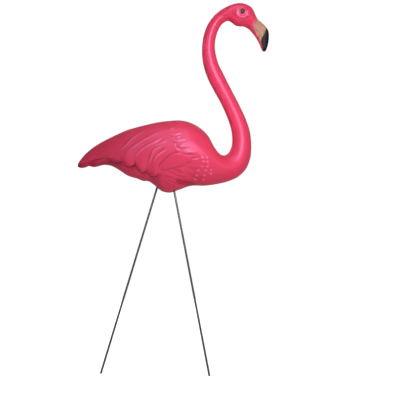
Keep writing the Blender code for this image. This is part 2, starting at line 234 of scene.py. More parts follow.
@dataclass(frozen=True)
class Stroke:
    """A line drawn on the side view of the bird.

    Args:
        points: places that the line runs through, in hundredths.
        fade: the share of its length over which it fades out at each end.
    """

    points: Line
    fade: float = 0.2

    SPACING = 0.6

    def path(self) -> np.ndarray:
        """Gives the smooth line through the points."""
        return np.vstack(spline_runs(self.points, [self.SPACING] * (len(self.points) - 1)))

    def measure(self, x: np.ndarray, z: np.ndarray) -> tuple[np.ndarray, np.ndarray]:
        """Measures places against the line.

        Args:
            x: places along the bird.
            z: places up the bird.

        Returns:
            The distance from the line, positive on its left, and the strength of the
            line there, which is 1 in its middle and 0 past its ends.
        """
        path = self.path()
        best = np.full(x.shape, np.inf)
        side = np.ones(x.shape)
        along = np.zeros(x.shape)
        count = len(path) - 1
        for i in range(count):
            (x0, z0), (x1, z1) = path[i], path[i + 1]
            dx, dz = x1 - x0, z1 - z0
            t = np.clip(((x - x0) * dx + (z - z0) * dz) / (dx * dx + dz * dz), 0.0, 1.0)
            distance = np.hypot(x - x0 - t * dx, z - z0 - t * dz)
            nearer = distance < best
            best = np.where(nearer, distance, best)
            side = np.where(nearer, np.sign(dx * (z - z0) - dz * (x - x0)), side)
            along = np.where(nearer, (i + t) / count, along)
        strength = smooth_step(along / self.fade) * smooth_step((1 - along) / self.fade)
        return best * side, strength

    def near(self, x: np.ndarray, z: np.ndarray, margin: float) -> np.ndarray:
        """Says which places lie within a margin of the box round the line."""
        low, high = np.min(self.points, axis=0) - margin, np.max(self.points, axis=0) + margin
        return (x > low[0]) & (x < high[0]) & (z > low[1]) & (z < high[1])


@dataclass(frozen=True)
class Lip(Stroke):
    """A feather's edge: a groove, then a step up to the left of the line that fades.

    Args:
        height: how high the step is.
        reach: how far the raised side takes to fade.
        blur: half the width of the step.
        crest: how far the raised side's rounded crest reaches.
        groove: the depth of the groove at the step's foot.
    """

    height: float = 0.3
    reach: float = 2.4
    blur: float = 0.3
    crest: float = 0.9
    groove: float = 0.15

    def relief(self, x: np.ndarray, z: np.ndarray) -> np.ndarray:
        """Gives how far the feather's edge stands out at each place.

        Args:
            x: places along the bird.
            z: places up the bird.

        Returns:
            The height of the relief at each place, in hundredths.
        """
        raised = np.zeros(x.shape)
        close = self.near(x, z, 4 * self.reach)
        signed, strength = self.measure(x[close], z[close])
        rise = smooth_step((signed / self.blur + 1) / 2)
        inside = np.maximum(signed, 0)
        fall = (np.exp(-inside / self.reach) + np.exp(-((inside / self.crest) ** 2))) / 2
        foot = np.exp(-(((signed + 2 * self.blur) / (1.5 * self.blur)) ** 2))
        raised[close] = (self.height * rise * fall - self.groove * foot) * strength
        return raised


@dataclass(frozen=True)
class Furrow(Stroke):
    """A rounded groove along the line, or a ridge if its depth is below 0.

    Args:
        depth: how deep the groove is.
        width: its half width.
    """

    depth: float = 0.25
    width: float = 0.4

    def relief(self, x: np.ndarray, z: np.ndarray) -> np.ndarray:
        """Gives how far the groove sinks at each place, as a number below 0.

        Args:
            x: places along the bird.
            z: places up the bird.

        Returns:
            The height of the relief at each place, in hundredths.
        """
        raised = np.zeros(x.shape)
        close = self.near(x, z, 3 * self.width)
        signed, strength = self.measure(x[close], z[close])
        raised[close] = -self.depth * np.exp(-((signed / self.width) ** 2)) * strength
        return raised


@dataclass(frozen=True)
class Swelling:
    """A soft oval bump.

    Args:
        middle: its place on the side view.
        half_size: its half length and half height.
        height: how far it stands out, or sinks if below 0.
        lean: how far it is turned, in degrees.
    """

    middle: Point
    half_size: Point
    height: float
    lean: float = 0.0

    def relief(self, x: np.ndarray, z: np.ndarray) -> np.ndarray:
        """Gives how far the bump stands out at each place.

        Args:
            x: places along the bird.
            z: places up the bird.

        Returns:
            The height of the relief at each place, in hundredths.
        """
        turn = math.radians(self.lean)
        dx, dz = x - self.middle[0], z - self.middle[1]
        along = (dx * math.cos(turn) + dz * math.sin(turn)) / self.half_size[0]
        up = (dz * math.cos(turn) - dx * math.sin(turn)) / self.half_size[1]
        return self.height * np.exp(-(along**2) - up**2)


@dataclass(frozen=True)
class OvalRidge:
    """A raised ring, such as the lid round an eye.

    Args:
        middle: its place on the side view.
        half_size: half its length and half its height along the ridge's top.
        height: how far it stands out.
        width: the half width of the ridge.
        low_weight: how much higher it is below its middle than above.
    """

    middle: Point
    half_size: Point
    height: float
    width: float
    low_weight: float = 0.0

    def relief(self, x: np.ndarray, z: np.ndarray) -> np.ndarray:
        """Gives how far the ring stands out at each place.

        Args:
            x: places along the bird.
            z: places up the bird.

        Returns:
            The height of the relief at each place, in hundredths.
        """
        dx, dz = (x - self.middle[0]) / self.half_size[0], (z - self.middle[1]) / self.half_size[1]
        radius = np.hypot(dx, dz)
        off = (radius - 1) * min(self.half_size)
        weight = 1 - self.low_weight * np.clip(dz / np.maximum(radius, TINY), -1.0, 1.0)
        return self.height * weight * np.exp(-((off / self.width) ** 2))


@dataclass(frozen=True)
class WingEdge:
    """The wing's lower edge, which hangs in rounded lobes between its cusps.

    Args:
        cusps: places where two lobes meet, along and up.
        lobe_depths: how far each lobe hangs below the line between its cusps.
        roundness: the power that makes a lobe full.
        proud: how much of its full height the edge stands out by, along the bird.
        step: the full height of the edge.
        reach: how far up the wing the edge takes to fade.
        undercut: the height of the step's face on the side view.
        rim_loss: how much of the step the rounded rim takes away.
        rim_radius: the height over which the rim is rounded.
        tolerance: how far below the edge a point still counts as on the wing.
        soften: how far along the bird the lobes are levelled out higher up the wing.
        hollow: how deep the body is sunk just under the wing.
        hollow_reach: how far down that hollow reaches.
    """

    cusps: Line = (
        (-40.5, 14.6), (-38.1, 15.6), (-34.4, 16.8), (-30.5, 18.0), (-26.9, 18.3), (-23.4, 18.2),
        (-22.2, 16.8), (-17.4, 16.9), (-10.5, 16.0), (-4.8, 12.2), (1.2, 10.0), (24.0, 12.0),
    )
    lobe_depths: tuple[float, ...] = (0.0, 0.0, 0.0, 0.0, 0.0, 0.0, 0.5, 2.4, 2.9, 2.1, 0.0)
    roundness: float = 0.6
    proud: Line = (
        (-40.0, 0.25), (-30.0, 0.5), (-15.0, 1.0), (-6.0, 1.0), (0.0, 0.6), (3.5, 0.0),
    )
    step: float = 2.3
    reach: float = 8.0
    undercut: float = 0.3
    rim_loss: float = 0.5
    rim_radius: float = 0.9
    tolerance: float = 0.1
    soften: float = 4.5
    hollow: float = 1.0
    hollow_reach: float = 2.0

    def height_at(self, x: np.ndarray) -> np.ndarray:
        """Gives the height of the edge at places along the bird.

        Args:
            x: places along the bird.

        Returns:
            The height of the edge at each place, in hundredths.
        """
        cusp_x, cusp_z = np.transpose(self.cusps)
        lobe = np.clip(np.searchsorted(cusp_x, x) - 1, 0, len(self.lobe_depths) - 1)
        share = np.clip((x - cusp_x[lobe]) / (cusp_x[lobe + 1] - cusp_x[lobe]), 0.0, 1.0)
        hang = np.sin(np.pi * share) ** self.roundness
        return np.interp(x, cusp_x, cusp_z) - np.take(self.lobe_depths, lobe) * hang

    def relief(self, x: np.ndarray, z: np.ndarray) -> np.ndarray:
        """Gives how far the wing stands out above its edge.

        Args:
            x: places along the bird.
            z: places up the bird.

        Returns:
            The height of the relief at each place, in hundredths.
        """
        edge = self.height_at(x)
        off = np.abs(z - edge)
        level = np.mean([self.height_at(x + s * self.soften) for s in np.linspace(-1, 1, 9)], axis=0)
        share = np.interp(x, *np.transpose(self.proud))
        rim = 1 - self.rim_loss * np.exp(-off / self.rim_radius)
        raised = self.step * rim * np.exp(-np.maximum(z - level, 0) / self.reach)
        hollow = -self.hollow * np.exp(-((off / self.hollow_reach) ** 2))
        return share * np.where(z >= edge - self.tolerance, raised, hollow)


@dataclass(frozen=True)
class Plumage:
    """Everything that is carved into the sides of the bird's body, in hundredths.

    Args:
        flight_feathers: lines up the upper edges of the wing's long feathers.
        tail_ridges: low ridges under the tail.
        covert_fingers: the fingers of the short feathers on the shoulder.
        covert_tips: the swollen tips of those feathers.
        covert_shadows: the grooves between them.
        tail_knob: the bump where the wing's lobes begin.
        leaf: the two edges of the leaf-shaped feather.
        small_leaves: edges of the small feathers in front of it.
        thigh_fan: grooves that fan out over the thigh.
        thigh_fold: the fold in front of the thigh.
        breast_scales: middles of the breast's raised dots.
        scale_half_size: half the length and height of a dot.
        scale_height: how far a dot stands out.
        thigh: the swelling of the thigh.
        wing: the wing's lower edge.
    """

    flight_feathers: tuple[Line, ...] = (
        ((-22.4, 17.2), (-19.6, 21.4), (-15.3, 25.6), (-10.5, 30.1), (-5.3, 32.9), (-1.2, 34.6)),
        ((-17.4, 16.9), (-16.2, 19.1), (-12.9, 23.2), (-8.0, 26.8), (-0.4, 31.0), (6.5, 33.8)),
        ((-10.5, 16.0), (-10.2, 19.3), (-6.2, 23.8), (-0.2, 27.1), (6.2, 30.6)),
        ((-4.8, 12.2), (-4.1, 13.8), (-2.6, 18.0), (-0.4, 22.8), (2.8, 24.6), (6.8, 26.6)),
        ((-0.6, 24.4), (2.8, 26.3), (4.7, 27.1), (7.0, 28.3)),
        ((-1.4, 14.6), (-0.1, 18.3), (3.4, 21.5), (7.3, 23.7)),
    )
    tail_ridges: tuple[Line, ...] = (
        ((-36.2, 14.9), (-33.6, 15.9), (-31.2, 16.5), (-28.8, 17.2), (-26.2, 17.7)),
        ((-33.6, 14.4), (-31.0, 15.0), (-29.1, 15.5), (-27.1, 16.2), (-24.8, 16.7)),
    )
    covert_fingers: tuple[Line, ...] = (
        ((7.1, 31.1), (9.1, 30.5), (10.9, 30.7), (12.2, 31.2), (15.6, 31.7)),
        ((7.4, 33.7), (9.0, 33.8), (10.8, 34.1)),
        ((9.2, 28.5), (10.3, 27.6), (11.4, 27.1), (13.1, 27.7), (15.9, 28.1), (18.2, 28.3)),
        ((10.5, 28.6), (11.8, 29.2), (14.3, 29.8)),
        ((12.6, 25.0), (14.0, 24.2), (15.9, 24.4), (17.8, 24.8), (20.2, 25.6)),
        ((12.9, 24.9), (13.9, 25.3), (15.2, 25.9), (17.0, 26.3), (19.5, 27.5)),
        ((14.3, 22.1), (15.9, 22.7), (17.8, 23.1), (19.3, 23.4), (21.0, 24.2)),
        ((14.5, 21.9), (17.0, 21.1), (18.9, 21.3), (20.8, 21.4), (23.1, 22.8)),
        ((10.8, 23.8), (12.0, 22.7), (13.5, 22.1)),
    )
    covert_tips: tuple[Swelling, ...] = (
        Swelling((14.0, 24.6), (1.7, 0.8), 0.4, 8.0), Swelling((17.6, 21.9), (3.0, 0.9), 0.4, 3.0),
        Swelling((11.6, 27.7), (2.0, 0.6), 0.15), Swelling((10.0, 30.8), (2.0, 0.6), 0.12),
    )
    covert_shadows: tuple[Line, ...] = (
        ((12.3, 26.8), (11.5, 25.3), (11.5, 24.3), (12.5, 23.6), (13.7, 23.2), (14.1, 22.5)),
        ((13.9, 21.4), (15.9, 20.4), (18.5, 20.2), (21.5, 20.5)),
        ((8.4, 27.6), (9.9, 26.6), (12.5, 26.4)),
        ((6.9, 30.3), (9.2, 29.6), (11.5, 29.9), (14.5, 30.6)),
    )
    tail_knob: Swelling = Swelling((-23.3, 19.0), (0.8, 0.6), 0.2)
    leaf: tuple[Line, ...] = (
        ((14.4, 20.6), (11.3, 20.5), (9.3, 19.8), (7.4, 18.9), (5.0, 16.9), (2.8, 14.7), (2.4, 12.9)),
        ((2.5, 12.2), (6.2, 12.7), (9.1, 13.4), (11.7, 13.9), (15.0, 14.8), (17.0, 16.3), (19.6, 17.1)),
    )
    small_leaves: tuple[Line, ...] = (
        ((16.4, 15.1), (17.8, 13.7), (19.9, 13.4), (22.3, 13.4), (24.3, 13.9)),
        ((24.4, 18.5), (22.8, 17.9), (20.4, 17.4), (18.2, 16.9)),
        ((12.1, 13.4), (13.0, 12.2), (14.1, 11.4), (15.6, 11.1)),
        ((15.4, 10.5), (18.0, 10.4), (19.9, 10.1), (22.5, 10.3), (24.6, 9.8)),
    )
    thigh_fan: tuple[Line, ...] = (
        ((8.2, 12.4), (11.2, 11.7), (13.3, 10.6), (16.0, 9.5)),
        ((5.2, 11.1), (8.8, 10.4), (11.2, 9.4), (13.3, 8.6), (15.4, 8.2), (18.0, 7.0)),
        (
            (1.2, 9.3), (4.1, 8.6), (6.7, 8.3), (8.8, 7.7), (10.7, 7.0), (12.8, 6.2), (15.9, 5.6),
            (19.4, 5.4),
        ),
        ((1.8, 8.1), (5.4, 7.2), (7.5, 6.4), (9.4, 5.4), (11.8, 4.4)),
        ((2.0, 6.9), (4.6, 5.9), (7.0, 4.9), (9.2, 3.6)),
        ((3.4, 5.0), (5.6, 4.2), (8.2, 2.6)),
        ((11.2, 5.0), (14.5, 4.6), (18.5, 4.3)),
        ((15.9, 8.3), (19.4, 8.5), (21.7, 7.7), (23.8, 7.5), (26.0, 7.8)),
    )
    thigh_fold: Line = ((12.0, 6.6), (15.9, 5.8), (19.2, 5.3), (22.1, 4.0))
    breast_scales: Line = (
        (25.3, 18.4), (27.8, 18.4), (25.7, 16.4), (27.8, 16.3), (24.9, 13.8), (27.5, 13.9),
        (22.9, 11.6), (27.0, 11.6), (29.6, 12.0), (22.3, 9.1), (26.2, 9.2), (29.5, 10.0),
        (21.3, 7.0), (25.7, 6.8),
    )
    scale_half_size: Point = (0.8, 0.6)
    scale_height: float = 0.3
    thigh: Swelling = Swelling((10.0, 6.5), (8.5, 5.5), 0.9)
    wing: WingEdge = WingEdge()

    def ridges(self) -> list[Carving]:
        """Lists the carving whose crests get a painted highlight.

        Returns:
            The pieces of that carving.
        """
        feathers = self.flight_feathers
        return [
            *self.covert_tips,
            self.tail_knob,
            *(Lip(p[::-1], height=0.45, reach=2.4, groove=0.05, fade=0.4) for p in feathers),
            *(Furrow(p, depth=-0.3, width=0.5, fade=0.45) for p in self.covert_fingers),
            *(Swelling(p, self.scale_half_size, self.scale_height) for p in self.breast_scales),
        ]

    def details(self) -> list[Carving]:
        """Lists every piece of carving.

        Returns:
            The pieces, in the order in which they are added up.
        """
        lobe_gaps = [p[:3] for p in self.flight_feathers[:4]]
        return [
            self.wing,
            self.thigh,
            *self.ridges(),
            *(Furrow(p, depth=0.15, width=0.5, fade=0.35) for p in lobe_gaps),
            *(Furrow(p, depth=0.16, width=0.4, fade=0.3) for p in self.covert_shadows),
            *(Lip(p, height=0.3, reach=2.2, groove=0.18, fade=0.14) for p in self.leaf),
            *(Lip(p, height=0.2, reach=1.4, groove=0.14, fade=0.35) for p in self.small_leaves),
            *(Furrow(p, depth=0.32, width=0.5, fade=0.3) for p in self.thigh_fan),
            *(Furrow(p, depth=-0.3, width=0.4, fade=0.3) for p in self.tail_ridges),
            Furrow(self.thigh_fold, depth=0.9, width=1.1, fade=0.4),
        ]


@dataclass(frozen=True)
class HeadCarving:
    """The lids, cheek, nostril and gape of the head, in hundredths.

    Args:
        eye: middle of the eye.
        eye_half_size: half the painted eye's length and height.
        eye_height: how far the eye stands out.
        rim: the narrow ring round the eye.
        lid: the wide lid round that.
        cheek: the swelling of the cheek.
        nostril: the line of the nostril's slit.
        gape: the line between the two halves of the bill.
    """

    eye: Point = (46.35, 95.8)
    eye_half_size: Point = (0.92, 1.1)
    eye_height: float = 0.34
    rim: OvalRidge = OvalRidge((46.35, 95.8), (1.38, 1.595), 0.1, 0.3)
    lid: OvalRidge = OvalRidge((46.2, 95.2), (3.0, 2.5), 0.27, 0.65, low_weight=0.8)
    cheek: Swelling = Swelling((43.6, 90.6), (4.2, 2.4), 0.35)
    nostril: Line = ((51.6, 88.5), (52.5, 88.9), (53.4, 89.8))
    gape: Line = ((51.3, 86.6), (52.9, 86.2), (54.3, 83.8), (55.7, 81.0), (56.9, 77.9))

    def details(self) -> list[Carving]:
        """Lists every piece of carving.

        Returns:
            The pieces, in the order in which they are added up.
        """
        return [
            Swelling(self.eye, self.eye_half_size, self.eye_height),
            self.rim,
            self.lid,
            self.cheek,
            Furrow(self.nostril, depth=0.16, width=0.28),
            Furrow(self.gape, depth=0.1, width=0.26),
        ]


@dataclass(frozen=True)
class Station:
    """One section of the bird, between a point of its upper outline and one of its lower.

    Args:
        upper: the point on the upper outline.
        lower: the point on the lower outline.
        half_width: half the section's width.
        widest: how far down the section its widest level lies.
        crown: fullness above that level, where 2 is an ellipse.
        keel: fullness below it.
    """

    upper: Point
    lower: Point
    half_width: float
    widest: float = 0.5
    crown: float = 2.0
    keel: float = 2.0

    HALF_WIDTH_COLUMN = 4

    def row(self) -> tuple[float, ...]:
        """Gives the section as one row of numbers."""
        return (*self.upper, *self.lower, self.half_width, self.widest, self.crown, self.keel)


@dataclass(frozen=True)
class Region:
    """A stretch of the bird with its own fineness.

    Args:
        stations: the sections that the stretch starts from.
        spacing: the spacing of the rings.
        sides: the number of points round a ring.
        follows_wing: whether a row of points follows the wing's lower edge.
    """

    stations: tuple[Station, ...]
    spacing: float
    sides: int
    follows_wing: bool = False


TAIL = (
    Station((-40.3, 15.6), (-40.6, 13.6), 0.8, 0.60),
    Station((-39.1, 17.4), (-39.3, 13.1), 1.9, 0.62, 1.8),
    Station((-36.2, 20.8), (-36.2, 13.4), 3.3, 0.66, 1.7),
    Station((-34.7, 22.1), (-34.8, 14.0), 3.9, 0.66, 1.7),
    Station((-32.6, 23.8), (-32.4, 13.5), 4.7, 0.66, 1.7, 2.1),
    Station((-26.5, 27.5), (-26.2, 14.6), 7.0, 0.66, 1.75, 2.1),
    Station((-22.9, 29.3), (-22.6, 14.0), 8.4, 0.64, 1.8, 2.1),
    Station((-20.4, 30.5), (-19.9, 12.6), 9.4, 0.62, 1.8, 2.1),
    Station((-13.6, 33.4), (-13.6, 8.7), 11.8, 0.57, 1.9, 2.1),
    Station((-9.3, 34.6), (-9.3, 7.4), 12.9, 0.55, 1.95, 2.1),
    Station((-6.3, 35.4), (-6.2, 6.2), 13.7, 0.54, 2.0, 2.1),
    Station((-3.4, 36.1), (-3.4, 6.0), 14.4, 0.53, 2.0, 2.1),
    Station((0.1, 36.9), (-0.1, 3.9), 15.1, 0.51, 2.05, 2.1),
    Station((3.8, 37.5), (3.6, 0.9), 15.8, 0.50, 2.1, 1.95),
    Station((7.5, 37.9), (7.5, 0.0), 16.3, 0.48, 2.1, 1.85),
    Station((12.8, 38.2), (12.5, 1.4), 16.7, 0.49, 2.1, 1.9),
    Station((18.6, 37.0), (19.1, 3.6), 16.4, 0.50, 2.1, 2.0),
    Station((24.1, 34.0), (26.5, 3.7), 15.4),
)
NECK = (
    Station((28.3, 29.8), (33.6, 4.7), 13.8),
    Station((31.2, 24.4), (39.6, 6.3), 11.9),
    Station((33.5, 21.2), (44.1, 8.5), 10.1),
    Station((36.3, 19.7), (48.1, 12.5), 8.5),
    Station((38.8, 21.0), (50.2, 17.5), 7.2),
    Station((40.3, 23.9), (50.9, 22.4), 6.1),
    Station((40.8, 27.4), (50.8, 27.3), 5.35),
    Station((40.5, 31.7), (50.1, 32.5), 4.85),
    Station((39.4, 36.2), (48.0, 38.9), 4.5),
    Station((37.4, 41.5), (45.2, 45.0), 4.3),
    Station((34.1, 48.5), (41.4, 52.4), 4.2),
    Station((31.0, 54.0), (38.5, 58.0), 4.2),
    Station((27.9, 60.2), (35.6, 63.8), 4.1),
    Station((25.8, 66.5), (33.5, 68.2), 3.85),
    Station((24.9, 73.1), (32.1, 73.6), 3.55),
    Station((25.1, 78.9), (31.7, 77.8), 3.35),
    Station((25.9, 83.4), (32.2, 81.6), 3.25),
    Station((27.7, 88.3), (33.5, 85.6), 3.2),
    Station((30.4, 92.3), (35.4, 88.7), 3.25),
)
HEAD = (
    Station((34.1, 95.8), (38.3, 90.5), 3.45),
    Station((38.4, 98.3), (40.4, 89.7), 3.9, 0.48),
    Station((42.3, 99.7), (42.7, 88.0), 4.4, 0.44, 2.1, 1.9),
    Station((45.5, 100.0), (44.9, 87.6), 4.65, 0.42, 2.1, 1.85),
    Station((48.5, 99.3), (46.9, 87.5), 4.5, 0.42, 2.1, 1.85),
    Station((50.9, 97.8), (48.8, 86.6), 4.1, 0.43, 2.1, 1.9),
    Station((52.2, 95.9), (50.2, 85.5), 3.6, 0.45, 2.1, 1.9),
    Station((53.2, 93.5), (51.4, 84.1), 3.0, 0.47, 2.1, 2.0),
    Station((54.3, 91.5), (52.6, 82.6), 2.65, 0.48, 2.1, 2.1),
    Station((56.5, 89.6), (53.9, 80.6), 2.4, 0.48, 2.1, 2.1),
    Station((58.6, 87.5), (54.9, 78.7), 2.15, 0.48, 2.1, 2.1),
    Station((59.9, 85.3), (55.6, 77.0), 1.9, 0.48),
    Station((60.2, 82.5), (56.2, 75.6), 1.65, 0.48),
    Station((59.9, 79.1), (56.7, 74.8), 1.4),
    Station((59.3, 76.6), (57.1, 74.4), 1.1),
    Station((58.6, 75.0), (57.8, 74.3), 0.5),
)


@dataclass(frozen=True)
class Paintwork:
    """Where the bird is painted, on its side view in hundredths.

    Args:
        bill_start: how far along and up the bird the bill's paint may start.
        tan_edge: the line past which the bill is tan; tan lies to its right.
        black_edge: the line past which the bill is black; black lies to its right.
        tan_fades: half the width of the airbrushed fade from pink to tan, up the bill.
        black_fade: half the width of the fade to black.
        sheen: the line along which the black tip carries a painted grey sheen.
        sheen_range: how far from that line the grey starts to fade and is gone.
        hollows: lines along the hollows under the tail and before the thigh, where painted shade darkens
            the pink.
        hollow_range: how far from them the painted shade starts to fade and is gone.
        hollow_strength: how strong the painted shade is there, from 0 to 1.
        polish_start: height up the neck where the plastic starts to be glossier.
        polish_reach: height over which it turns fully glossy.
        eye_black_range: where the eye's dark paint starts to fade and the width of that
            fade, as shares of the eye's half size.
        eye_rim_range: the same for the red rim round it.
        eye_glint_range: the same for the olive spot in its middle.
        sight: where the paint is laid out from.
    """

    bill_start: Point = (48.0, 72.0)
    tan_edge: Line = (
        (57.6, 73.0), (56.6, 77.2), (55.6, 80.0), (54.5, 82.3), (53.3, 84.6), (52.4, 86.6),
        (52.1, 88.2), (52.9, 90.0), (53.5, 91.4), (54.6, 93.5),
    )
    black_edge: Line = (
        (57.2, 73.6), (56.7, 76.7), (56.2, 78.4), (56.0, 79.5), (56.1, 80.8), (56.5, 81.9),
        (57.2, 83.0), (58.0, 84.7), (58.8, 86.5), (60.8, 88.2),
    )
    tan_fades: Line = ((76.0, 0.7), (84.0, 1.3), (90.0, 2.3))
    black_fade: float = 0.45
    sheen: Line = ((58.3, 84.6), (57.6, 81.8), (57.35, 79.6), (57.5, 77.2))
    sheen_range: Point = (0.4, 1.2)
    hollows: tuple[Line, ...] = (
        ((-46.0, 13.0), (-40.0, 13.9), (-33.1, 14.9), (-26.7, 15.7), (-21.0, 15.7), (-16.0, 14.4)),
        ((10.0, 7.0), (12.3, 6.2), (14.9, 5.3), (17.5, 5.0), (19.8, 4.4), (22.5, 3.7)),
    )
    hollow_range: Point = (0.6, 1.9)
    hollow_strength: float = 0.7
    polish_start: float = 50.0
    polish_reach: float = 35.0
    eye_black_range: Point = (0.86, 0.3)
    eye_rim_range: Point = (1.0, 0.55)
    eye_glint_range: Point = (0.28, 0.32)
    sight: Sight = Sight()

    def past(self, edge: Line, fade: float | np.ndarray, x: np.ndarray, z: np.ndarray) -> np.ndarray:
        """Gives how far past a painted edge each place lies, from 0 to 1.

        Args:
            edge: the line of the edge; the paint lies to its right.
            fade: half the width of the fade.
            x: places along the bird.
            z: places up the bird.

        Returns:
            0 on the bare side, 1 on the painted side.
        """
        signed, _ = Stroke(edge).measure(x, z)
        return smooth_step((-signed / fade + 1) / 2)

    def hollow(self, line: Line, x: np.ndarray, z: np.ndarray) -> np.ndarray:
        """Gives how strong the painted shade in one hollow is at each place.

        Args:
            line: the line along the hollow.
            x: places along the bird.
            z: places up the bird.

        Returns:
            0 away from the hollow, up to hollow_strength in it.
        """
        offset, strength = Stroke(line).measure(x, z)
        start, end = self.hollow_range
        return self.hollow_strength * fade_out(np.abs(offset), start, end - start) * strength

    def masks(self, points: np.ndarray, head: HeadCarving) -> dict[str, np.ndarray]:
        """Gives the paint's masks at places on the bird.

        Args:
            points: rows of along, across and up, in hundredths.
            head: the head's carving, for the place of the eyes.

        Returns:
            One array from 0 to 1 for each named coat of paint.
        """
        x, z = self.sight.show(*points.T)
        on_bill = (x > self.bill_start[0]) & (z > self.bill_start[1])
        tan_fade = np.interp(z, *np.transpose(self.tan_fades))
        off_sheen = np.abs(Stroke(self.sheen).measure(x, z)[0])
        start, end = self.sheen_range
        radius = np.hypot(
            (x - head.eye[0]) / head.eye_half_size[0], (z - head.eye[1]) / head.eye_half_size[1]
        )
        return {
            # painted shade in the hollows under the tail and before the thigh
            "hollow": np.max([self.hollow(line, x, z) for line in self.hollows], axis=0),
            "bill_tan": np.where(on_bill, self.past(self.tan_edge, tan_fade, x, z), 0.0),
            "bill_black": np.where(on_bill, self.past(self.black_edge, self.black_fade, x, z), 0.0),
            # painted grey sheen on the bill's black tip
            "bill_sheen": fade_out(off_sheen, start, end - start),
            "eye_black": fade_out(radius, *self.eye_black_range),
            "eye_rim": fade_out(radius, *self.eye_rim_range),
            "eye_glint": fade_out(radius, *self.eye_glint_range),
            "polish": smooth_step((z - self.polish_start) / self.polish_reach),
        }


class NodeTools:
    """Small helpers that lay shader nodes in one material."""

    def __init__(self, name: str) -> None:
        """Starts a material with a Principled shader.

        Args:
            name: the material's name.
        """
        self.material = bpy.data.materials.new(name)
        self.material.use_nodes = True
        self.tree = self.material.node_tree
        self.shader = self.tree.nodes["Principled BSDF"]

    def node(self, kind: str, **values: object) -> bpy.types.Node:
        """Adds a node.

        Args:
            kind: the node's type.
            values: its settings; a name that is one of its inputs sets that input.

        Returns:
            The new node.
        """
        made = self.tree.nodes.new(kind)
        for name, value in values.items():
            if hasattr(made, name):
                setattr(made, name, value)
            else:
                made.inputs[name.replace("_", " ").title()].default_value = value
        return made

    def link(self, source: Socket, target: Socket) -> None:
        """Joins two sockets."""
        self.tree.links.new(source, target)

    def coordinates(self) -> Socket:
        """Gives places in the piece's own metres."""
        return self.node("ShaderNodeTexCoord").outputs["Object"]

    def attribute(self, name: str) -> Socket:
        """Gives the strength of one of the mesh's masks."""
        return self.node("ShaderNodeAttribute", attribute_name=name).outputs["Fac"]

    def noise(self, scale: float, detail: float, stretch: tuple[float, float, float] = (1, 1, 1)) -> Socket:
        """Adds a noise on object coordinates.

        Args:
            scale: its scale, in cells to a metre.
            detail: its number of octaves.
            stretch: how its coordinates are scaled along the three axes.

        Returns:
            The noise's value, from 0 to 1.
        """
        mapping = self.node("ShaderNodeMapping")
        mapping.inputs["Scale"].default_value = stretch
        self.link(self.coordinates(), mapping.inputs["Vector"])
        noise = self.node("ShaderNodeTexNoise", scale=scale, detail=detail)
        self.link(mapping.outputs["Vector"], noise.inputs["Vector"])
        return noise.outputs["Fac"]

    def remap(self, source: Socket, low: float, high: float) -> Socket:
        """Spreads a value's 0 to 1 over another range.

        Args:
            source: the value.
            low: what its 0 becomes.
            high: what its 1 becomes.

        Returns:
            The value in that range.
        """
        ranged = self.node("ShaderNodeMapRange")
        ranged.inputs["To Min"].default_value = low
        ranged.inputs["To Max"].default_value = high
        self.link(source, ranged.inputs["Value"])
        return ranged.outputs["Result"]

    def lay(self, kind: MixKind, factor: Socket, below: object, above: object) -> Socket:
        """Lays one colour or plain value over another.

        Args:
            kind: whether colours or plain values are mixed.
            factor: how much of the upper one shows.
            below: a colour, a value or the socket of one.
            above: a colour, a value or the socket of one.

        Returns:
            The mixture.
        """
        mix = self.node("ShaderNodeMix", data_type=kind.name)
        first_input, output = kind.value
        self.link(factor, mix.inputs[0])
        for socket, value in zip(mix.inputs[first_input:], (below, above)):
            if isinstance(value, Socket):
                self.link(value, socket)
            else:
                socket.default_value = (*value, 1.0) if kind is MixKind.RGBA else value
        return mix.outputs[output]

    def mix(self, factor: Socket, below: object, above: object) -> Socket:
        """Lays one colour over another."""
        return self.lay(MixKind.RGBA, factor, below, above)

    def blend(self, factor: Socket, below: object, above: object) -> Socket:
        """Lays one plain value over another."""
        return self.lay(MixKind.FLOAT, factor, below, above)

    def bump(self, height: Socket, distance: float, strength: float) -> None:
        """Raises the shader's normal by a height.

        Args:
            height: the height, from 0 to 1.
            distance: the depth of that range, in metres.
            strength: how strongly it shows.
        """
        bump = self.node("ShaderNodeBump")
        bump.inputs["Strength"].default_value = strength
        bump.inputs["Distance"].default_value = distance
        self.link(height, bump.inputs["Height"])
        self.link(bump.outputs["Normal"], self.shader.inputs["Normal"])


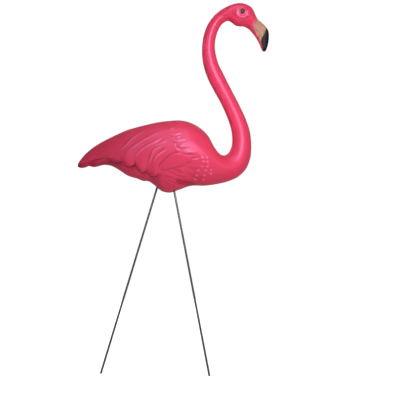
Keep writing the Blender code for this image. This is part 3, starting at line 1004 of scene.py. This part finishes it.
@dataclass(frozen=True)
class MouldedPlastic:
    """Satin pink plastic with an airbrushed bill, painted eyes, painted shade in its creases and hollows,
    painted highlights on its crests and a painted grey sheen on the bill's black tip.

    Args:
        pink: the plastic's own colour.
        pale_pink: the colour that clouds it.
        cloud_range: how strong those clouds are, from the weakest to the strongest.
        shade_pink: the painted shade in creases and hollows.
        highlight_pink: the painted highlight on crests.
        bill_tan: the bill's airbrushed colour.
        bill_mauve: the colour where that fades to pink.
        mauve_range: how strong the mauve is, from the bare pink to the full tan.
        tan_power: how fast the tan comes up through the mauve.
        black: the bill's tip.
        grey: the painted sheen on the tip.
        eye_brown: the eye's dark ring.
        eye_rim: the red rim round it.
        eye_olive: the spot in its middle.
        satin: the range of the plastic's roughness.
        polished: the roughness of the upper neck and head.
        eye_roughness: the roughness of the eye's paint.
        tan_roughness: the roughness of the bill's tan paint.
        black_roughness: the roughness of the bill's black paint.
        streak_range: how much of the surface is smooth between its fine unevenness.
        peel_level: the level of those smooth parts, as a share of the unevenness.
        peel_depth: the depth of the fine unevenness, in metres.
        ior: the plastic's index of refraction.
        specular_tint: the tint of its highlights, which are a little cool.
    """

    pink: Colour = (0.77, 0.040, 0.095)
    pale_pink: Colour = (0.76, 0.052, 0.13)
    shade_pink: Colour = (0.38, 0.014, 0.04)
    bill_tan: Colour = (0.50, 0.25, 0.155)
    bill_mauve: Colour = (0.58, 0.13, 0.16)
    highlight_pink: Colour = (0.82, 0.115, 0.225)
    black: Colour = (0.004, 0.004, 0.001)
    grey: Colour = (0.024, 0.026, 0.002)
    eye_brown: Colour = (0.032, 0.010, 0.001)
    eye_rim: Colour = (0.17, 0.025, 0.02)
    eye_olive: Colour = (0.21, 0.17, 0.08)
    cloud_range: Point = (-0.4, 1.2)
    mauve_range: Point = (0.0, 0.9)
    tan_power: float = 1.8
    satin: Point = (0.27, 0.35)
    polished: float = 0.18
    eye_roughness: float = 0.85
    tan_roughness: float = 0.6
    black_roughness: float = 0.75
    streak_range: Point = (0.2, 0.6)
    peel_level: float = 0.5
    peel_depth: float = 0.00012
    ior: float = 1.5
    specular_tint: Colour = (0.5, 0.55, 1.0)

    def build(self) -> bpy.types.Material:
        """Makes the material.

        Returns:
            The finished material.
        """
        tools = NodeTools("moulded_pink_plastic")
        cloud = tools.noise(scale=9.0, detail=3.0)
        colour = tools.mix(tools.remap(cloud, *self.cloud_range), self.pink, self.pale_pink)
        tan = tools.attribute("bill_tan")
        tan_soft = tools.node("ShaderNodeMath", operation="POWER")
        tools.link(tan, tan_soft.inputs[0])
        tan_soft.inputs[1].default_value = self.tan_power
        black = tools.attribute("bill_black")
        # painted grey sheen on the bill's black tip
        tip = tools.mix(tools.attribute("bill_sheen"), self.black, self.grey)
        for mask, coat in (
            # painted shade in the carving's creases and in the hollows
            (tools.attribute("crevice_shade"), self.shade_pink),
            (tools.attribute("hollow"), self.shade_pink),
            # painted highlight on the crests
            (tools.attribute("crest"), self.highlight_pink),
            (tools.remap(tan, *self.mauve_range), self.bill_mauve),
            (tan_soft.outputs[0], self.bill_tan),
            (black, tip),
            (tools.attribute("eye_rim"), self.eye_rim),
            (tools.attribute("eye_black"), self.eye_brown),
            (tools.attribute("eye_glint"), self.eye_olive),
        ):
            colour = tools.mix(mask, colour, coat)
        tools.link(colour, tools.shader.inputs["Base Color"])
        gloss = tools.remap(tools.noise(scale=45.0, detail=4.0), *self.satin)
        for mask, roughness in (
            (tools.attribute("polish"), self.polished),
            (tools.attribute("eye_rim"), self.eye_roughness),
            (tan, self.tan_roughness),
            (black, self.black_roughness),
        ):
            gloss = tools.blend(mask, gloss, roughness)
        tools.link(gloss, tools.shader.inputs["Roughness"])
        streaks = tools.remap(tools.noise(scale=120.0, detail=2.0), *self.streak_range)
        peel = tools.blend(streaks, tools.noise(scale=420.0, detail=2.0), self.peel_level)
        tools.bump(peel, distance=self.peel_depth, strength=0.5)
        tools.shader.inputs["IOR"].default_value = self.ior
        tools.shader.inputs["Specular Tint"].default_value = (*self.specular_tint, 1.0)
        return tools.material


@dataclass(frozen=True)
class DrawnSteel:
    """Dull grey drawn steel rod.

    Args:
        bright: the steel's brighter patches.
        dull: its duller patches.
        roughness: the range of its roughness.
        metallic: how metallic it is under its dull skin.
        line_depth: the depth of the drawing lines, in metres.
    """

    bright: Colour = (0.24, 0.235, 0.235)
    dull: Colour = (0.11, 0.107, 0.107)
    roughness: Point = (0.28, 0.55)
    metallic: float = 0.85
    line_depth: float = 0.00004

    def build(self) -> bpy.types.Material:
        """Makes the material.

        Returns:
            The finished material.
        """
        tools = NodeTools("drawn_steel_rod")
        along = tools.noise(scale=700.0, detail=3.0, stretch=(1.0, 1.0, 0.02))
        patches = tools.noise(scale=60.0, detail=4.0)
        tools.link(tools.mix(patches, self.dull, self.bright), tools.shader.inputs["Base Color"])
        tools.link(tools.remap(along, *self.roughness), tools.shader.inputs["Roughness"])
        tools.shader.inputs["Metallic"].default_value = self.metallic
        tools.bump(along, distance=self.line_depth, strength=0.6)
        return tools.material


def finish_piece(bm: bmesh.types.BMesh, name: str, material: bpy.types.Material) -> bpy.types.Object:
    """Writes a bmesh to a smooth-shaded object at the origin.

    Args:
        bm: the finished shape; it is freed.
        name: the piece's name.
        material: its material.

    Returns:
        The new object.
    """
    mesh = bpy.data.meshes.new(name)
    bm.to_mesh(mesh)
    bm.free()
    mesh.materials.append(material)
    mesh.shade_smooth()
    piece = bpy.data.objects.new(name, mesh)
    bpy.context.scene.collection.objects.link(piece)
    return piece


def cylinder(start: Vector, end: Vector, radius: float, sides: int) -> bmesh.types.BMesh:
    """Makes a closed cylinder between two points.

    Args:
        start: the middle of one end.
        end: the middle of the other end.
        radius: its radius.
        sides: its number of sides.

    Returns:
        The cylinder.
    """
    bm = bmesh.new()
    length = (end - start).length
    bmesh.ops.create_cone(
        bm, cap_ends=True, segments=sides, radius1=radius, radius2=radius, depth=length
    )
    turn = (end - start).to_track_quat("Z", "Y").to_matrix().to_4x4()
    bmesh.ops.transform(bm, matrix=Matrix.Translation((start + end) / 2) @ turn, verts=bm.verts)
    return bm


@dataclass
class SteelLeg:
    """One rod, with its foot cut flat at the ground and its head in a socket.

    Args:
        node: the name of the rod's node in the frame.
        sides: the number of sides of the round rod.
        chamfer: how far the foot's rim is broken.
        clearance: the gap between the rod and its socket.
        socket_start: how far up the rod the shape that cuts its socket starts.
        sharp_angle: the edge angle from which the rod is shaded sharp, in degrees.
        foot: the middle of the rod's lower end.
        head: the middle of its upper end.
        radius: half its thickness.
    """

    node: str
    sides: int = 32
    chamfer: float = 0.0004
    clearance: float = 0.0003
    socket_start: float = 0.6
    sharp_angle: float = 35.0
    foot: Vector = field(init=False)
    head: Vector = field(init=False)
    radius: float = field(init=False)

    def __post_init__(self) -> None:
        """Reads the rod's ends and radius from the frame."""
        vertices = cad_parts[self.node].data.vertices
        corners = np.unique(np.round([v.co[:] for v in vertices], decimals=6), axis=0)
        middle = corners[:, 2].mean()
        self.foot = Vector(corners[corners[:, 2] < middle].mean(axis=0))
        upper = corners[corners[:, 2] > middle]
        self.head = Vector(upper.mean(axis=0))
        self.radius = float(np.linalg.norm(upper - upper.mean(axis=0), axis=1).max())

    def along(self) -> Vector:
        """Gives the direction from the foot to the head."""
        return (self.head - self.foot).normalized()

    def socket(self) -> bmesh.types.BMesh:
        """Makes the shape of the socket's hole, which is wider than the rod all round.

        Returns:
            The hole, which starts inside the rod's length and ends just past its head.
        """
        deep = self.head + self.along() * self.clearance
        start = self.foot.lerp(self.head, self.socket_start)
        return cylinder(start, deep, self.radius + self.clearance, self.sides)

    def build(self, material: bpy.types.Material) -> bpy.types.Object:
        """Makes the rod.

        Args:
            material: the steel.

        Returns:
            The finished piece.
        """
        bm = cylinder(self.foot - self.along() * 2 * self.radius, self.head, self.radius, self.sides)
        everything = bm.verts[:] + bm.edges[:] + bm.faces[:]
        cut = bmesh.ops.bisect_plane(
            bm, geom=everything, plane_co=(0, 0, self.foot.z), plane_no=(0, 0, 1), clear_inner=True
        )
        rim = [item for item in cut["geom_cut"] if isinstance(item, bmesh.types.BMEdge)]
        bmesh.ops.contextual_create(bm, geom=rim)
        bmesh.ops.recalc_face_normals(bm, faces=bm.faces)
        sharp = math.radians(self.sharp_angle)
        ends = [e for e in bm.edges if e.is_manifold and e.calc_face_angle() > sharp]
        bmesh.ops.bevel(
            bm, geom=ends, offset=self.chamfer, offset_type="OFFSET", segments=2, profile=0.5,
            affect="EDGES", material=-1,
        )
        piece = finish_piece(bm, f"steel_{self.node}", material)
        piece.data.set_sharp_from_angle(angle=sharp)
        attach(piece, BODY)
        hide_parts(self.node)
        return piece


@dataclass
class FlamingoBody:
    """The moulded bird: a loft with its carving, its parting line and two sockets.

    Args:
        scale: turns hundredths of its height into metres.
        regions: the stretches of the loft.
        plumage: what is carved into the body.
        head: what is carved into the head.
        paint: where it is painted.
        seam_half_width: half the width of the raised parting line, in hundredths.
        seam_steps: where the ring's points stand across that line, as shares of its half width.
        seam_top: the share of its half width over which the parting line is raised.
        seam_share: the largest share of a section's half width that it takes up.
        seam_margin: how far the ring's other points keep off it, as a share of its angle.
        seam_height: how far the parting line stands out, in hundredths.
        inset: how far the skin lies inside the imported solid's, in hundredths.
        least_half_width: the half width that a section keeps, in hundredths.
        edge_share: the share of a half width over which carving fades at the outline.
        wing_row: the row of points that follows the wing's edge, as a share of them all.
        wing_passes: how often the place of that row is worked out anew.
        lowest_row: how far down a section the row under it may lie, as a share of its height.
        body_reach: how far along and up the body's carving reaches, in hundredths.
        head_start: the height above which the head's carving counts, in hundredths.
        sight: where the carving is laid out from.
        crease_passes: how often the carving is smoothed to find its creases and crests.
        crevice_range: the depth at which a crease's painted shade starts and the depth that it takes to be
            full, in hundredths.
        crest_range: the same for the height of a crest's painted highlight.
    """

    scale: FigureScale
    regions: tuple[Region, ...] = (
        Region(TAIL, 0.49, 280, follows_wing=True),
        Region(NECK, 0.95, 96),
        Region(HEAD, 0.44, 144),
    )
    plumage: Plumage = Plumage()
    head: HeadCarving = HeadCarving()
    paint: Paintwork = Paintwork()
    seam_half_width: float = 0.13
    seam_steps: tuple[float, ...] = (0.5, 1.0, 1.6)
    seam_top: float = 0.6
    seam_share: float = 0.5
    seam_margin: float = 0.05
    seam_height: float = 0.05
    inset: float = 0.08
    least_half_width: float = 0.1
    edge_share: float = 0.3
    wing_row: float = 0.62
    wing_passes: int = 3
    lowest_row: float = 0.96
    body_reach: Point = (36.0, 45.0)
    head_start: float = 72.0
    sight: Sight = Sight()
    crease_passes: int = 6
    crevice_range: Point = (0.02, 0.36)
    crest_range: Point = (0.006, 0.09)

    def rows(self) -> list[tuple[np.ndarray, Region]]:
        """Gives the rows of every ring from tail to bill, each with its region.

        Returns:
            Pairs of a ring's section, as one row of numbers, and the region that it lies in.
        """
        stretches = [(s, region) for region in self.regions for s in region.stations]
        spacings = [region.spacing for _, region in stretches[:-1]]
        runs = spline_runs(np.array([s.row() for s, _ in stretches]), spacings)
        return [(row, region) for run, (_, region) in zip(runs, stretches) for row in run]

    def angles(self, row: np.ndarray, region: Region) -> np.ndarray:
        """Spaces a ring's points down one side, from its upper outline to its lower one.

        Args:
            row: the ring's section.
            region: the region that it lies in.

        Returns:
            The angles, with some close to each outline for the parting line.
        """
        upper_x, upper_z, lower_x, lower_z, half_width, widest, crown, keel = row
        count = region.sides // 2 + 1
        height = math.hypot(upper_z - lower_z, upper_x - lower_x)

        def angle_at(down: float) -> float:
            """Gives the angle of the level that lies a share down the section.

            Args:
                down: the share, from 0 at the upper outline to 1 at the lower.

            Returns:
                The angle, from 0 to pi.
            """
            if down <= widest:
                return math.acos((1 - down / widest) ** (crown / 2))
            return math.acos(-(((down - widest) / (1 - widest)) ** (keel / 2)))

        if region.follows_wing:
            share = self.wing_share(row)
            edge = angle_at(share)
            under = angle_at(min(share + self.plumage.wing.undercut / height, self.lowest_row))
            above = round(self.wing_row * count)
            spread = np.append(np.linspace(0, edge, above), np.linspace(under, math.pi, count - above))
        else:
            spread = np.linspace(0.0, math.pi, count)
        near = min(self.seam_half_width / half_width, self.seam_share)
        crown_seam = [math.asin((near * k) ** (crown / 2)) for k in self.seam_steps]
        keel_seam = [math.pi - math.asin((near * k) ** (keel / 2)) for k in self.seam_steps[::-1]]
        first, last = crown_seam[-1], keel_seam[0]
        replaced = len(self.seam_steps) + 1
        inner = np.clip(spread[replaced:-replaced], first * (1 + self.seam_margin), None)
        inner = np.minimum(inner, last - self.seam_margin * (math.pi - last))
        return np.concatenate(([0.0], crown_seam, inner, keel_seam, [math.pi]))

    def wing_share(self, row: np.ndarray) -> float:
        """Gives how far down a section the wing's lower edge crosses it.

        Args:
            row: the ring's section.

        Returns:
            The share of the section's height that lies above the edge.
        """
        upper_x, upper_z, lower_x, lower_z, half_width, share, _, _ = row
        sight, spread = self.sight, float(self.sight.spread(half_width))
        for _ in range(self.wing_passes):
            x = upper_x + (lower_x - upper_x) * share
            shown = float(self.plumage.wing.height_at(np.array(sight.x + (x - sight.x) * spread)))
            share = (upper_z - sight.z - (shown - sight.z) / spread) / (upper_z - lower_z)
        return share

    def ring(self, row: np.ndarray, region: Region) -> np.ndarray:
        """Gives one bare ring's points, with its parting line but no carving.

        Args:
            row: the ring's section.
            region: the region that it lies in.

        Returns:
            Rows of along, across and up, in hundredths.
        """
        upper_x, upper_z, lower_x, lower_z, half_width, widest, crown, keel = row
        half = self.angles(row, region)
        angle = np.append(half, 2 * math.pi - half[-2:0:-1])
        cosine, sine = np.cos(angle), np.sin(angle)
        power = 2 / np.where(cosine > 0, crown, keel)
        reach = np.where(cosine > 0, widest, 1 - widest)
        height = math.hypot(upper_z - lower_z, upper_x - lower_x)
        reach_across = max(half_width - self.inset, self.least_half_width)
        across = reach_across * np.sign(sine) * np.abs(sine) ** power
        across[[0, len(half) - 1]] = 0.0
        seam = self.seam_height * (np.abs(across) < self.seam_top * self.seam_half_width)
        shrink = 1 - 2 * (self.inset - seam) / max(height, 4 * self.inset)
        down = widest - reach * np.sign(cosine) * np.abs(cosine) ** power
        down = 0.5 + (down - 0.5) * shrink
        x = upper_x + (lower_x - upper_x) * down
        z = upper_z + (lower_z - upper_z) * down
        return np.column_stack((x, across, z))

    def carve(self, points: np.ndarray, half_widths: np.ndarray) -> np.ndarray:
        """Raises the carving sideways out of the bare rings.

        Args:
            points: rows of along, across and up, in hundredths.
            half_widths: the half width of each point's section.

        Returns:
            The carved points.
        """
        x, y, z = points.T
        raised = self.relief(*self.sight.show(x, y, z), self.plumage.details())
        inner = smooth_step(np.abs(y) / (self.edge_share * half_widths))
        return np.column_stack((x, y + np.sign(y) * raised * inner, z))

    def relief(self, x: np.ndarray, z: np.ndarray, plumage: list[Carving]) -> np.ndarray:
        """Adds up the carving at places on the side view.

        Args:
            x: places along the bird.
            z: places up the bird.
            plumage: which of the body's carving counts.

        Returns:
            How far each place stands out, in hundredths.
        """
        raised = np.zeros(x.shape)
        body = (x < self.body_reach[0]) & (z < self.body_reach[1])
        head = z > self.head_start
        for part, details in ((body, plumage), (head, self.head.details())):
            for detail in details:
                raised[part] += detail.relief(x[part], z[part])
        return raised

    def crest(self, mesh: bpy.types.Mesh, raised: np.ndarray) -> np.ndarray:
        """Gives how far each vertex stands above those around it, or lies in a crease below 0.

        Args:
            mesh: the bird's mesh.
            raised: the height of the carving at its vertices, in hundredths.

        Returns:
            The heights in hundredths, one for each vertex.
        """
        count = len(raised)
        ends = np.empty(len(mesh.edges) * 2, dtype=np.int32)
        mesh.edges.foreach_get("vertices", ends)
        ends = ends.reshape(-1, 2)
        ends = np.vstack((ends, ends[:, ::-1]))
        shares = 1 / np.maximum(np.bincount(ends[:, 0], minlength=count), 1)
        smooth = raised
        for _ in range(self.crease_passes):
            smooth = np.bincount(ends[:, 0], smooth[ends[:, 1]], count) * shares
        return raised - smooth

    def wrap(self, bm: bmesh.types.BMesh, rings: np.ndarray) -> list[list[bmesh.types.BMEdge]]:
        """Wraps a sheet round a run of rings.

        Args:
            bm: the mesh to add it to.
            rings: the rings' points in metres, ring by ring.

        Returns:
            The edges of the first ring and those of the last.
        """
        count, sides, _ = rings.shape
        sheet = bmesh.ops.create_grid(bm, x_segments=sides, y_segments=count - 1, size=0.5)
        columns: dict[int, list[bmesh.types.BMVert]] = {0: [], count - 1: []}
        for vert in sheet["verts"]:
            column = round((vert.co.x + 0.5) * sides) % sides
            ring = round((vert.co.y + 0.5) * (count - 1))
            vert.co = Vector(rings[ring, column])
            if ring in columns:
                columns[ring].append(vert)
        seam = [v for v in sheet["verts"] if v.is_boundary]
        bmesh.ops.remove_doubles(bm, verts=seam, dist=SEAM_MERGE)
        loops = []
        for ring in (0, count - 1):
            ends = {v for v in columns[ring] if v.is_valid}
            loops.append(
                [e for v in ends for e in v.link_edges if e.is_boundary and e.other_vert(v) in ends]
            )
        return [list(dict.fromkeys(loop)) for loop in loops]

    def build(self, material: bpy.types.Material, legs: list[SteelLeg]) -> bpy.types.Object:
        """Makes the bird.

        Args:
            material: the painted plastic.
            legs: the rods whose sockets are bored in its belly.

        Returns:
            The finished piece.
        """
        bm = bmesh.new()
        loops = []
        rows = self.rows()
        for region in self.regions:
            own = [row for row, of_region in rows if of_region is region]
            bare = np.vstack([self.ring(row, region) for row in own])
            own_widths = [row[Station.HALF_WIDTH_COLUMN] for row in own]
            half_widths = np.repeat(own_widths, len(bare) // len(own))
            carved = self.scale.to_metres(self.carve(bare, half_widths))
            loops += self.wrap(bm, carved.reshape(len(own), -1, 3))
            log.info("bird: %d rings of %d points", len(own), len(bare) // len(own))
        for end, start in zip(loops[1:-1:2], loops[2::2]):
            bmesh.ops.bridge_loops(bm, edges=end + start)
        bmesh.ops.holes_fill(bm, edges=loops[0] + loops[-1])
        caps = [f for f in bm.faces if len(f.verts) > 4]
        bmesh.ops.poke(bm, faces=caps)
        bmesh.ops.recalc_face_normals(bm, faces=bm.faces)
        piece = finish_piece(bm, "moulded_flamingo", material)
        for leg in legs:
            self.bore(piece, leg)
        self.paint_masks(piece)
        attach(piece, BODY)
        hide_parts("flamingo_body")
        return piece

    def bore(self, piece: bpy.types.Object, leg: SteelLeg) -> None:
        """Cuts one rod's socket and applies the cut.

        Args:
            piece: the bird.
            leg: the rod.
        """
        cutter = finish_piece(leg.socket(), f"socket_{leg.node}", piece.data.materials[0])
        cut = piece.modifiers.new("socket", "BOOLEAN")
        cut.operation = "DIFFERENCE"
        cut.object = cutter
        depsgraph = bpy.context.evaluated_depsgraph_get()
        mesh = bpy.data.meshes.new_from_object(piece.evaluated_get(depsgraph))
        piece.modifiers.clear()
        piece.data = mesh
        bpy.data.objects.remove(cutter)

    def paint_masks(self, piece: bpy.types.Object) -> None:
        """Writes the paint's masks, the creases' painted shade and the crests' painted highlight to the
        mesh.

        Args:
            piece: the bird.
        """
        mesh = piece.data
        places = np.empty(len(mesh.vertices) * 3)
        mesh.vertices.foreach_get("co", places)
        points = self.scale.to_hundredths(places.reshape(-1, 3))
        masks = self.paint.masks(points, self.head)
        shown = self.sight.show(*points.T)
        for name, sign, plumage, (start, full) in (
            # painted shade in the carving's creases
            ("crevice_shade", -1, self.plumage.details(), self.crevice_range),
            # painted highlight on the ridges' crests
            ("crest", 1, self.plumage.ridges(), self.crest_range),
        ):
            height = sign * self.crest(mesh, self.relief(*shown, plumage))
            masks[name] = np.clip((height - start) / full, 0.0, 1.0)
        for name, values in masks.items():
            layer = mesh.attributes.new(name, "FLOAT", "POINT")
            layer.data.foreach_set("value", values.astype(np.float32))


@dataclass
class Studio:
    """A pale round floor that runs up into a wall, soft lights and the camera.

    Args:
        camera_distance: from the camera to the bird's middle plane.
        camera_place: where the camera looks, along the bird and up.
        frame_width: how much of the bird's middle plane the frame spans.
        sensor: the width of the camera's sensor in millimetres.
        floor_radius: how far the floor and the bend up into its wall reach.
        floor_sweep: the radius of that bend.
        wall_height: the height of the wall's top.
        bend_steps: the number of flats in the bend.
        round_steps: the number of flats round the floor.
        floor_tone: the range of the floor's grey.
        floor_roughness: how rough it is.
        floor_glow: how strongly the floor glows.
        air: the strength of the plain white light that fills the room.
        lamps: the lamps; the one named bounce stands for the light that a pale floor
            throws up.
    """

    camera_distance: float = 3.2
    camera_place: Point = (0.1052, 0.4062)
    frame_width: float = 0.9296
    sensor: float = 36.0
    floor_radius: float = 5.0
    floor_sweep: float = 0.8
    wall_height: float = 4.0
    bend_steps: int = 16
    round_steps: int = 96
    floor_tone: Point = (0.48, 0.5)
    floor_roughness: float = 0.9
    floor_glow: float = 0.9
    air: float = 0.17
    lamps: tuple[Lamp, ...] = (
        Lamp("shine", (0.36, -1.2, 1.05), (0.15, 0.0, 0.6), 0.7, 13.0, LampUse.SHINE),
        Lamp("near", (0.1, -0.75, 1.1), (0.16, 0.0, 0.62), 0.4, 1.45, LampUse.TONE),
        Lamp("neck", (-0.25, -0.7, 0.95), (0.2, 0.0, 0.62), 0.3, 0.14, LampUse.TONE, 30.0),
        Lamp("side", (1.8, -1.5, 0.55), (0.05, 0.0, 0.55), 1.2, 22.0, LampUse.TONE),
        Lamp("top", (0.05, -0.75, 2.1), (0.05, 0.0, 0.5), 1.1, 9.0, LampUse.BOTH),
        Lamp("back", (-0.5, 2.2, 1.0), (0.05, 0.0, 0.5), 1.4, 24.0, LampUse.TONE),
        Lamp("bounce", (0.3, -0.9, -0.5), (0.1, 0.0, 0.45), 1.6, 10.0, LampUse.TONE),
    )

    def floor(self) -> bpy.types.Object:
        """Makes the round floor and its wall as one sheet, which throws no light back.

        Returns:
            The finished floor.
        """
        bm = bmesh.new()
        bend = self.floor_radius - self.floor_sweep
        edge = bm.verts.new((bend, 0.0, 0.0))
        bm.edges.new((bm.verts.new((0.0, 0.0, 0.0)), edge))
        spun = bmesh.ops.spin(
            bm, geom=[edge], cent=(bend, 0.0, self.floor_sweep), axis=(0, -1, 0),
            angle=math.pi / 2, steps=self.bend_steps, use_duplicate=False,
        )
        last = next(g for g in spun["geom_last"] if isinstance(g, bmesh.types.BMVert))
        bm.edges.new((last, bm.verts.new((self.floor_radius, 0.0, self.wall_height))))
        bmesh.ops.spin(
            bm, geom=bm.verts[:] + bm.edges[:], cent=(0, 0, 0), axis=(0, 0, 1),
            angle=2 * math.pi, steps=self.round_steps, use_duplicate=False,
        )
        bmesh.ops.remove_doubles(bm, verts=bm.verts, dist=FLOOR_MERGE)
        bmesh.ops.recalc_face_normals(bm, faces=bm.faces)
        bmesh.ops.reverse_faces(bm, faces=bm.faces)
        tools = NodeTools("pale_studio_floor")
        tone = tools.remap(tools.noise(scale=3.0, detail=2.0), *self.floor_tone)
        grey = tools.node("ShaderNodeCombineColor")
        for channel in grey.inputs:
            tools.link(tone, channel)
        tools.link(grey.outputs["Color"], tools.shader.inputs["Base Color"])
        tools.shader.inputs["Roughness"].default_value = self.floor_roughness
        tools.shader.inputs["Emission Color"].default_value = WHITE
        tools.shader.inputs["Emission Strength"].default_value = self.floor_glow
        piece = finish_piece(bm, "studio_floor", tools.material)
        piece.visible_diffuse = False
        piece.visible_glossy = False
        piece.visible_shadow = False
        return piece

    def stand(self, lamp: Lamp) -> None:
        """Adds one lamp to the scene.

        Args:
            lamp: the lamp.
        """
        light = bpy.data.lights.new(lamp.name, "AREA")
        light.size = lamp.size
        light.energy = lamp.power
        light.spread = math.radians(lamp.spread)
        stood = bpy.data.objects.new(lamp.name, light)
        stood.visible_camera = False
        stood.visible_glossy = lamp.use is not LampUse.TONE
        stood.visible_diffuse = lamp.use is not LampUse.SHINE
        stood.location = lamp.place
        direction = Vector(lamp.aim) - Vector(lamp.place)
        stood.rotation_euler = direction.to_track_quat("-Z", "Y").to_euler()
        bpy.context.scene.collection.objects.link(stood)

    def world(self) -> None:
        """Fills the room with plain white light."""
        world = bpy.data.worlds.new("studio_air")
        world.use_nodes = True
        background = world.node_tree.nodes["Background"]
        background.inputs["Color"].default_value = WHITE
        background.inputs["Strength"].default_value = self.air
        bpy.context.scene.world = world

    def camera(self) -> None:
        """Stands the camera level on the bird's right, square to its side."""
        data = bpy.data.cameras.new("camera")
        data.sensor_width = self.sensor
        data.lens = self.sensor * self.camera_distance / self.frame_width
        camera = bpy.data.objects.new("camera", data)
        camera.location = (self.camera_place[0], -self.camera_distance, self.camera_place[1])
        camera.rotation_euler = (math.pi / 2, 0.0, 0.0)
        bpy.context.scene.collection.objects.link(camera)
        bpy.context.scene.camera = camera

    def build(self) -> None:
        """Sets the whole studio up."""
        self.floor()
        self.world()
        for lamp in self.lamps:
            self.stand(lamp)
        self.camera()
        scene = bpy.context.scene
        scene.view_settings.view_transform = "Standard"
        scene.view_settings.look = "None"


def main() -> None:
    """Builds every piece in order and reports it."""
    legs = [SteelLeg("rear_leg"), SteelLeg("front_leg")]
    bird = FlamingoBody(FigureScale.from_frame()).build(MouldedPlastic().build(), legs)
    log.info("%s: %d faces", bird.name, len(bird.data.polygons))
    steel = DrawnSteel().build()
    for leg in legs:
        piece = leg.build(steel)
        log.info("%s: %d faces", piece.name, len(piece.data.polygons))
    Studio().build()
    log.info("studio ready")


if __name__ == "__main__":
    main()
